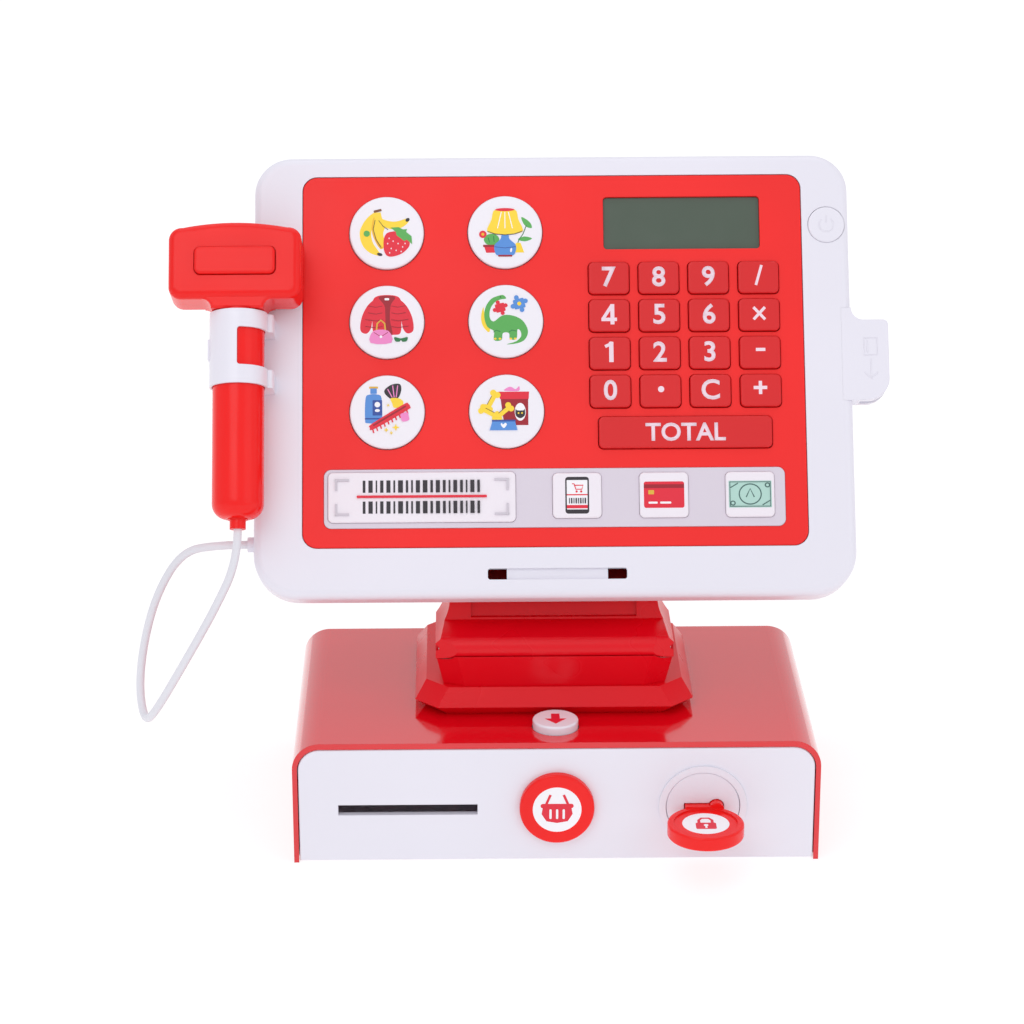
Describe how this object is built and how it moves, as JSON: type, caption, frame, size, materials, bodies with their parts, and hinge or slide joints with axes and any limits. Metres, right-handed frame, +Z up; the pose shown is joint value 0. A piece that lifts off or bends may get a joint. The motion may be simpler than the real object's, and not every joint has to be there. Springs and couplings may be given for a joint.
{
  "type": "toy cash register",
  "caption": "Toy cash register: leaning key tablet with a hand scanner on a cord, on a tilting stand over a low base with a locking drawer.",
  "frame": {"origin": "centre of the base's footprint, on the table", "axes": "+Z up, -Y towards the player (the front), +X to the player's right"},
  "size_m": [0.3034, 0.1636, 0.2565],
  "materials": {
    "red_plastic": "gloss moulded",
    "key_plastic": "gloss moulded",
    "white_plastic": "satin moulded",
    "button_plastic": "satin, printed",
    "strip_plastic": "matte moulded",
    "display": "grey-green display",
    "soft_rubber": "matte",
    "zinc_steel": "zinc plated",
    "board_green": "solder resist",
    "cell_wrap": "wrapped cell",
    "speaker_black": "matte",
    "scan_window": "tinted window",
    "cord_vinyl": "soft white vinyl"
  },
  "bodies": {
    "base": {"base_cover": "red_plastic", "base_floor": "red_plastic", "rubber_feet": "soft_rubber", "base_screws": "zinc_steel", "battery_door": "red_plastic", "batteries": "cell_wrap", "stand_collar": "red_plastic", "hinge_turret": "red_plastic", "hinge_pin": "zinc_steel"},
    "drawer": {"drawer_front": "white_plastic", "drawer_tray": "white_plastic", "drawer_badge": "red_plastic"},
    "lock": {"lock_plug": "white_plastic", "lock_cam": "white_plastic"},
    "key": {"drawer_key": "red_plastic"},
    "release": {"release_button": "white_plastic"},
    "tablet": {"tablet_neck": "red_plastic", "tablet_frame": "white_plastic", "tablet_back_shell": "red_plastic", "tablet_screws": "zinc_steel", "circuit_board": "board_green", "speaker": "speaker_black", "face_panel": "red_plastic", "pad_strip": "strip_plastic", "lcd_display": "display", "scanner_holster": "white_plastic", "swipe_reader": "white_plastic", "scanner_cord": "cord_vinyl"},
    "scanner": {"scanner_front_shell": "red_plastic", "scanner_back_shell": "red_plastic", "scanner_window": "scan_window"},
    "trigger": {"scanner_trigger": "red_plastic"},
    "fruit": {"fruit_button": "button_plastic"},
    "lamp": {"lamp_button": "button_plastic"},
    "clothes": {"clothes_button": "button_plastic"},
    "toys": {"toys_button": "button_plastic"},
    "cleaning": {"cleaning_button": "button_plastic"},
    "pet_food": {"pet_food_button": "button_plastic"},
    "k_7": {"key_7": "key_plastic"},
    "k_8": {"key_8": "key_plastic"},
    "k_9": {"key_9": "key_plastic"},
    "k_divide": {"key_divide": "key_plastic"},
    "k_4": {"key_4": "key_plastic"},
    "k_5": {"key_5": "key_plastic"},
    "k_6": {"key_6": "key_plastic"},
    "k_times": {"key_times": "key_plastic"},
    "k_1": {"key_1": "key_plastic"},
    "k_2": {"key_2": "key_plastic"},
    "k_3": {"key_3": "key_plastic"},
    "k_minus": {"key_minus": "key_plastic"},
    "k_0": {"key_0": "key_plastic"},
    "k_point": {"key_point": "key_plastic"},
    "k_clear": {"key_clear": "key_plastic"},
    "k_plus": {"key_plus": "key_plastic"},
    "k_sum": {"key_sum": "key_plastic"},
    "barcode": {"barcode_pad": "button_plastic"},
    "phone_pay": {"phone_pay_pad": "button_plastic"},
    "card_pay": {"card_pay_pad": "button_plastic"},
    "cash_pay": {"cash_pay_pad": "button_plastic"},
    "power": {"power_button": "white_plastic"}
  },
  "joints": [
    {"name": "drawer_slide", "type": "slide", "parent": "base", "child": "drawer", "axis": [0, -1, 0], "range_m": [0, 0.07]},
    {"name": "lock_turn", "type": "hinge", "parent": "drawer", "child": "lock", "pos_m": [0.0578, -0.0535, 0.0236], "axis": [0, -1, 0], "range_deg": [0, 90]},
    {"name": "key_slide", "type": "slide", "parent": "lock", "child": "key", "axis": [0, -1, 0], "range_m": [0, 0.03]},
    {"name": "release_press", "type": "slide", "parent": "base", "child": "release", "axis": [0, 0, -1], "range_m": [0, 0.0025], "stiffness_N_per_m": 400},
    {"name": "tablet_tilt", "type": "hinge", "parent": "base", "child": "tablet", "pos_m": [0, -0.03, 0.0795], "axis": [-1, 0, 0], "range_deg": [-10, 15]},
    {"name": "scanner_lift", "type": "slide", "parent": "tablet", "child": "scanner", "axis": [0, 0.5, 0.866], "range_m": [0, 0.095]},
    {"name": "trigger_press", "type": "slide", "parent": "scanner", "child": "trigger", "axis": [0, 0.866, -0.5], "range_m": [0, 0.0015], "stiffness_N_per_m": 300},
    {"name": "fruit_press", "type": "slide", "parent": "tablet", "child": "fruit", "axis": [0, 0.866, -0.5], "range_m": [0, 0.0012], "stiffness_N_per_m": 250},
    {"name": "lamp_press", "type": "slide", "parent": "tablet", "child": "lamp", "axis": [0, 0.866, -0.5], "range_m": [0, 0.0012], "stiffness_N_per_m": 250},
    {"name": "clothes_press", "type": "slide", "parent": "tablet", "child": "clothes", "axis": [0, 0.866, -0.5], "range_m": [0, 0.0012], "stiffness_N_per_m": 250},
    {"name": "toys_press", "type": "slide", "parent": "tablet", "child": "toys", "axis": [0, 0.866, -0.5], "range_m": [0, 0.0012], "stiffness_N_per_m": 250},
    {"name": "cleaning_press", "type": "slide", "parent": "tablet", "child": "cleaning", "axis": [0, 0.866, -0.5], "range_m": [0, 0.0012], "stiffness_N_per_m": 250},
    {"name": "pet_food_press", "type": "slide", "parent": "tablet", "child": "pet_food", "axis": [0, 0.866, -0.5], "range_m": [0, 0.0012], "stiffness_N_per_m": 250},
    {"name": "k_7_press", "type": "slide", "parent": "tablet", "child": "k_7", "axis": [0, 0.866, -0.5], "range_m": [0, 0.0012], "stiffness_N_per_m": 200},
    {"name": "k_8_press", "type": "slide", "parent": "tablet", "child": "k_8", "axis": [0, 0.866, -0.5], "range_m": [0, 0.0012], "stiffness_N_per_m": 200},
    {"name": "k_9_press", "type": "slide", "parent": "tablet", "child": "k_9", "axis": [0, 0.866, -0.5], "range_m": [0, 0.0012], "stiffness_N_per_m": 200},
    {"name": "k_divide_press", "type": "slide", "parent": "tablet", "child": "k_divide", "axis": [0, 0.866, -0.5], "range_m": [0, 0.0012], "stiffness_N_per_m": 200},
    {"name": "k_4_press", "type": "slide", "parent": "tablet", "child": "k_4", "axis": [0, 0.866, -0.5], "range_m": [0, 0.0012], "stiffness_N_per_m": 200},
    {"name": "k_5_press", "type": "slide", "parent": "tablet", "child": "k_5", "axis": [0, 0.866, -0.5], "range_m": [0, 0.0012], "stiffness_N_per_m": 200},
    {"name": "k_6_press", "type": "slide", "parent": "tablet", "child": "k_6", "axis": [0, 0.866, -0.5], "range_m": [0, 0.0012], "stiffness_N_per_m": 200},
    {"name": "k_times_press", "type": "slide", "parent": "tablet", "child": "k_times", "axis": [0, 0.866, -0.5], "range_m": [0, 0.0012], "stiffness_N_per_m": 200},
    {"name": "k_1_press", "type": "slide", "parent": "tablet", "child": "k_1", "axis": [0, 0.866, -0.5], "range_m": [0, 0.0012], "stiffness_N_per_m": 200},
    {"name": "k_2_press", "type": "slide", "parent": "tablet", "child": "k_2", "axis": [0, 0.866, -0.5], "range_m": [0, 0.0012], "stiffness_N_per_m": 200},
    {"name": "k_3_press", "type": "slide", "parent": "tablet", "child": "k_3", "axis": [0, 0.866, -0.5], "range_m": [0, 0.0012], "stiffness_N_per_m": 200},
    {"name": "k_minus_press", "type": "slide", "parent": "tablet", "child": "k_minus", "axis": [0, 0.866, -0.5], "range_m": [0, 0.0012], "stiffness_N_per_m": 200},
    {"name": "k_0_press", "type": "slide", "parent": "tablet", "child": "k_0", "axis": [0, 0.866, -0.5], "range_m": [0, 0.0012], "stiffness_N_per_m": 200},
    {"name": "k_point_press", "type": "slide", "parent": "tablet", "child": "k_point", "axis": [0, 0.866, -0.5], "range_m": [0, 0.0012], "stiffness_N_per_m": 200},
    {"name": "k_clear_press", "type": "slide", "parent": "tablet", "child": "k_clear", "axis": [0, 0.866, -0.5], "range_m": [0, 0.0012], "stiffness_N_per_m": 200},
    {"name": "k_plus_press", "type": "slide", "parent": "tablet", "child": "k_plus", "axis": [0, 0.866, -0.5], "range_m": [0, 0.0012], "stiffness_N_per_m": 200},
    {"name": "k_sum_press", "type": "slide", "parent": "tablet", "child": "k_sum", "axis": [0, 0.866, -0.5], "range_m": [0, 0.0012], "stiffness_N_per_m": 200},
    {"name": "barcode_press", "type": "slide", "parent": "tablet", "child": "barcode", "axis": [0, 0.866, -0.5], "range_m": [0, 0.0012], "stiffness_N_per_m": 250},
    {"name": "phone_pay_press", "type": "slide", "parent": "tablet", "child": "phone_pay", "axis": [0, 0.866, -0.5], "range_m": [0, 0.0012], "stiffness_N_per_m": 250},
    {"name": "card_pay_press", "type": "slide", "parent": "tablet", "child": "card_pay", "axis": [0, 0.866, -0.5], "range_m": [0, 0.0012], "stiffness_N_per_m": 250},
    {"name": "cash_pay_press", "type": "slide", "parent": "tablet", "child": "cash_pay", "axis": [0, 0.866, -0.5], "range_m": [0, 0.0012], "stiffness_N_per_m": 250},
    {"name": "power_press", "type": "slide", "parent": "tablet", "child": "power", "axis": [0, 0.866, -0.5], "range_m": [0, 0.0004], "stiffness_N_per_m": 300}
  ]
}
